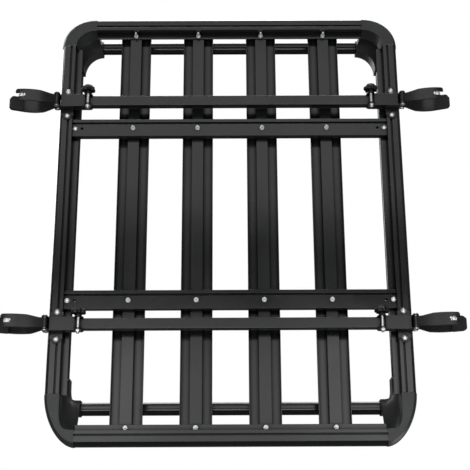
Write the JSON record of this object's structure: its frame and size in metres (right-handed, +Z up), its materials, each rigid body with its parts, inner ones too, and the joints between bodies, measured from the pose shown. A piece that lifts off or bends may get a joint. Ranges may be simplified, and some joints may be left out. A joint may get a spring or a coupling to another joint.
{
  "type": "roof rack tray on a pair of cross bars",
  "caption": "Black roof rack tray with two tiers of rails and slats, bolted on its pair of cross bars with a hinged roof rail clamp at each end.",
  "frame": {"origin": "middle of the rack in plan, on the ground its lower jaws stand on", "axes": "+Z up, -Y towards the front of the car, +X towards its left side, so X runs along the cross bars"},
  "size_m": [1.17, 1.1644, 0.205],
  "materials": {
    "coated_aluminium": "fine satin black powder coat",
    "coated_bar": "satin black powder coat",
    "coated_steel": "satin black powder coat on steel",
    "moulded_plastic": "fine grained matte",
    "knob_plastic": "matte",
    "pad_rubber": "matte",
    "zinc_steel": "bright zinc plate"
  },
  "bodies": {
    "rack": {"side_rail_left": "coated_aluminium", "side_rail_right": "coated_aluminium", "front_rail": "coated_aluminium", "rear_rail": "coated_aluminium", "upper_side_rail_left": "coated_aluminium", "upper_side_rail_right": "coated_aluminium", "upper_front_rail": "coated_aluminium", "upper_rear_rail": "coated_aluminium", "corner_post_front_left": "moulded_plastic", "corner_post_front_right": "moulded_plastic", "corner_post_rear_left": "moulded_plastic", "corner_post_rear_right": "moulded_plastic", "deck_slat_1": "coated_aluminium", "deck_slat_2": "coated_aluminium", "deck_slat_3": "coated_aluminium", "deck_slat_4": "coated_aluminium", "cross_member_front": "coated_aluminium", "cross_member_rear": "coated_aluminium", "cross_bar_front": "coated_bar", "cross_bar_rear": "coated_bar", "foot_front_left": "coated_steel", "foot_front_right": "coated_steel", "foot_rear_left": "coated_steel", "foot_rear_right": "coated_steel", "upper_jaw_front_left": "coated_steel", "upper_jaw_front_right": "coated_steel", "upper_jaw_rear_left": "coated_steel", "upper_jaw_rear_right": "coated_steel", "jaw_pad_front_left": "pad_rubber", "jaw_pad_front_right": "pad_rubber", "jaw_pad_rear_left": "pad_rubber", "jaw_pad_rear_right": "pad_rubber", "hinge_pin_front_left": "zinc_steel", "hinge_pin_front_right": "zinc_steel", "hinge_pin_rear_left": "zinc_steel", "hinge_pin_rear_right": "zinc_steel", "clamp_screw_front_left": "zinc_steel", "clamp_screw_front_right": "zinc_steel", "clamp_screw_rear_left": "zinc_steel", "clamp_screw_rear_right": "zinc_steel"},
    "lower_jaw_front_left": {"lower_jaw_front_left": "coated_steel"},
    "lower_jaw_front_right": {"lower_jaw_front_right": "coated_steel"},
    "lower_jaw_rear_left": {"lower_jaw_rear_left": "coated_steel"},
    "lower_jaw_rear_right": {"lower_jaw_rear_right": "coated_steel"},
    "clamp_knob_front_left": {"clamp_knob_front_left": "knob_plastic"},
    "clamp_knob_front_right": {"clamp_knob_front_right": "knob_plastic"},
    "clamp_knob_rear_left": {"clamp_knob_rear_left": "knob_plastic"},
    "clamp_knob_rear_right": {"clamp_knob_rear_right": "knob_plastic"}
  },
  "joints": [
    {"name": "lower_jaw_hinge_front_left", "type": "hinge", "parent": "rack", "child": "lower_jaw_front_left", "pos_m": [0.455, -0.286, 0.03], "axis": [0, 1, 0], "range_deg": [0, 38]},
    {"name": "lower_jaw_hinge_front_right", "type": "hinge", "parent": "rack", "child": "lower_jaw_front_right", "pos_m": [-0.455, -0.286, 0.03], "axis": [0, -1, 0], "range_deg": [0, 38]},
    {"name": "lower_jaw_hinge_rear_left", "type": "hinge", "parent": "rack", "child": "lower_jaw_rear_left", "pos_m": [0.455, 0.3195, 0.03], "axis": [0, 1, 0], "range_deg": [0, 38]},
    {"name": "lower_jaw_hinge_rear_right", "type": "hinge", "parent": "rack", "child": "lower_jaw_rear_right", "pos_m": [-0.455, 0.3195, 0.03], "axis": [0, -1, 0], "range_deg": [0, 38]},
    {"name": "clamp_knob_spin_front_left", "type": "hinge", "parent": "rack", "child": "clamp_knob_front_left", "pos_m": [0.373, -0.254, 0.031], "axis": [0, 1, 0], "continuous": true},
    {"name": "clamp_knob_spin_front_right", "type": "hinge", "parent": "rack", "child": "clamp_knob_front_right", "pos_m": [-0.373, -0.254, 0.031], "axis": [0, 1, 0], "continuous": true},
    {"name": "clamp_knob_spin_rear_left", "type": "hinge", "parent": "rack", "child": "clamp_knob_rear_left", "pos_m": [0.373, 0.3515, 0.031], "axis": [0, 1, 0], "continuous": true},
    {"name": "clamp_knob_spin_rear_right", "type": "hinge", "parent": "rack", "child": "clamp_knob_rear_right", "pos_m": [-0.373, 0.3515, 0.031], "axis": [0, 1, 0], "continuous": true}
  ]
}
